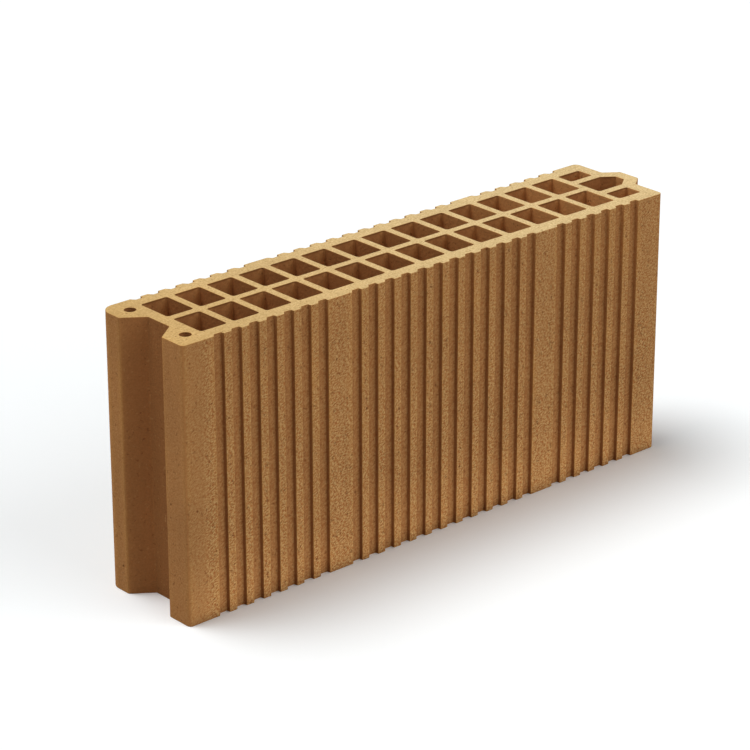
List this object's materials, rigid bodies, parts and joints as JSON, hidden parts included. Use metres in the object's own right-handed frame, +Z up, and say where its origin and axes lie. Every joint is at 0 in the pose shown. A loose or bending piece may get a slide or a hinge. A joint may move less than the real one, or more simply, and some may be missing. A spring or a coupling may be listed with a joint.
{
  "type": "hollow clay block",
  "caption": "Long hollow fired-clay partition block with vertical cells, combed long faces, and a tongue and groove on its ends.",
  "frame": {"origin": "middle of the bed face, half way along the body without its tongue", "axes": "+X along the length towards the tongue, +Y across the width towards the back face, +Z up along the cells"},
  "size_m": [0.5126, 0.1, 0.227],
  "materials": {
    "fired_clay": "unglazed, fine sandy, matt"
  },
  "bodies": {
    "root": {"clay_block": "fired_clay"}
  },
  "joints": []
}
